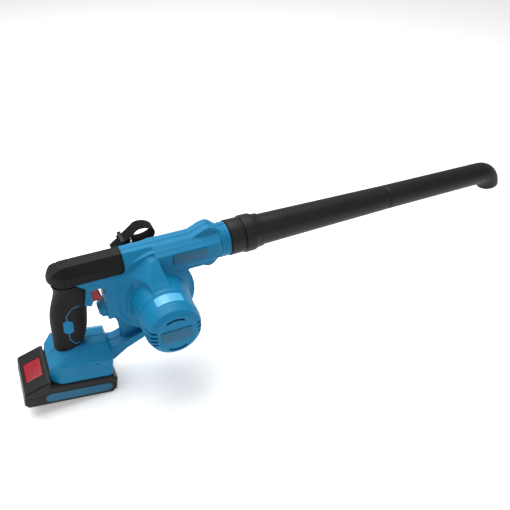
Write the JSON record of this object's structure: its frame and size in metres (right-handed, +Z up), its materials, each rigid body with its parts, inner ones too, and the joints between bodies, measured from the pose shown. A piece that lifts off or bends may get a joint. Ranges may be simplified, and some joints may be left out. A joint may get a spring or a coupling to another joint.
{
  "type": "leaf blower",
  "caption": "Cordless handheld leaf blower: D-shaped handle, side motor, slide-in battery under the grip, long straight blow tube with a short down-turned mouth, strap ring.",
  "frame": {"origin": "centre of the intake mouth, on the fan axis", "axes": "+X is the blowing direction along the tube, +Y points out of the intake on the left side, +Z is up"},
  "size_m": [0.773, 0.1595, 0.208],
  "materials": {
    "blue_shell": "satin moulded",
    "black_rubber": "matte, fine grain",
    "black_plastic": "satin moulded",
    "red_plastic": "semi-gloss",
    "steel": "satin",
    "zinc_screw": "blackened",
    "magnet": "dull",
    "copper": "enamelled wire",
    "brass_contact": "bright",
    "board": "solder mask",
    "cell_wrap": "shrink sleeve",
    "wire_red": "insulation",
    "wire_black": "insulation",
    "blue_plate": "blank plate",
    "pale_label": "blank label",
    "webbing": "woven"
  },
  "bodies": {
    "housing": {"housing_right": "blue_shell", "housing_left": "blue_shell", "housing_screws": "zinc_screw", "top_pad": "black_rubber", "grip_sleeve": "black_rubber", "grip_inlays": "blue_shell", "switch_module": "black_plastic", "trigger_spring": "steel", "lead_motor_red": "wire_red", "lead_motor_black": "wire_black", "lead_supply_red": "wire_red", "lead_supply_black": "wire_black", "motor_plate": "steel", "motor_can": "steel", "magnets": "magnet", "end_bell": "black_plastic", "brushes": "magnet", "bearing_front": "steel", "bearing_rear": "steel", "motor_screws": "zinc_screw", "motor_ring": "black_plastic", "motor_cover": "blue_shell", "badge_plate": "blue_plate", "model_plate": "blue_plate", "rating_label": "pale_label", "terminal_block": "black_plastic", "terminal_blades": "brass_contact", "control_board": "board", "collar_seal": "black_rubber"},
    "trigger": {"trigger": "red_plastic"},
    "rotor": {"motor_shaft": "steel", "armature": "steel", "windings": "copper", "commutator": "copper", "impeller": "black_plastic", "impeller_nut": "steel"},
    "grille": {"intake_grille": "black_plastic"},
    "battery": {"battery_top": "black_plastic", "battery_bottom": "black_plastic", "battery_cells": "cell_wrap", "pack_board": "board", "battery_contacts": "brass_contact", "battery_label_right": "blue_plate", "battery_label_left": "blue_plate", "battery_screws": "zinc_screw"},
    "release_button": {"battery_button": "red_plastic"},
    "rear_tube": {"nozzle_collar": "black_plastic", "tube_rear": "black_plastic"},
    "front_tube": {"tube_front": "black_plastic"},
    "strap": {"strap_ring": "steel", "strap_webbing": "webbing", "strap_keeper": "black_plastic"}
  },
  "joints": [
    {"name": "trigger_pull", "type": "slide", "parent": "housing", "child": "trigger", "axis": [-1, 0, 0], "range_m": [0, 0.007], "stiffness_N_per_m": 600, "springref_m": -0.003, "deforming": ["trigger_spring"]},
    {"name": "fan_spin", "type": "hinge", "parent": "housing", "child": "rotor", "pos_m": [0, -0.038, 0], "axis": [0, 1, 0], "continuous": true},
    {"name": "grille_twist", "type": "hinge", "parent": "housing", "child": "grille", "pos_m": [0, 0, 0], "axis": [0, 1, 0], "range_deg": [0, 30]},
    {"name": "battery_slide", "type": "slide", "parent": "housing", "child": "battery", "axis": [-0.9848, 0, 0.1736], "range_m": [0, 0.075]},
    {"name": "release_press", "type": "slide", "parent": "battery", "child": "release_button", "axis": [0.2851, 0, -0.9585], "range_m": [0, 0.0028], "stiffness_N_per_m": 900, "springref_m": -0.002},
    {"name": "collar_twist", "type": "hinge", "parent": "housing", "child": "rear_tube", "pos_m": [0.12, -0.038, 0.05], "axis": [1, 0, 0], "range_deg": [0, 30]},
    {"name": "front_tube_turn", "type": "hinge", "parent": "rear_tube", "child": "front_tube", "pos_m": [0.361, -0.038, 0.05], "axis": [1, 0, 0], "continuous": true},
    {"name": "strap_swing", "type": "hinge", "parent": "housing", "child": "strap", "pos_m": [-0.014, -0.005, 0.044], "axis": [0, 0, 1], "range_deg": [-6, 12]}
  ]
}
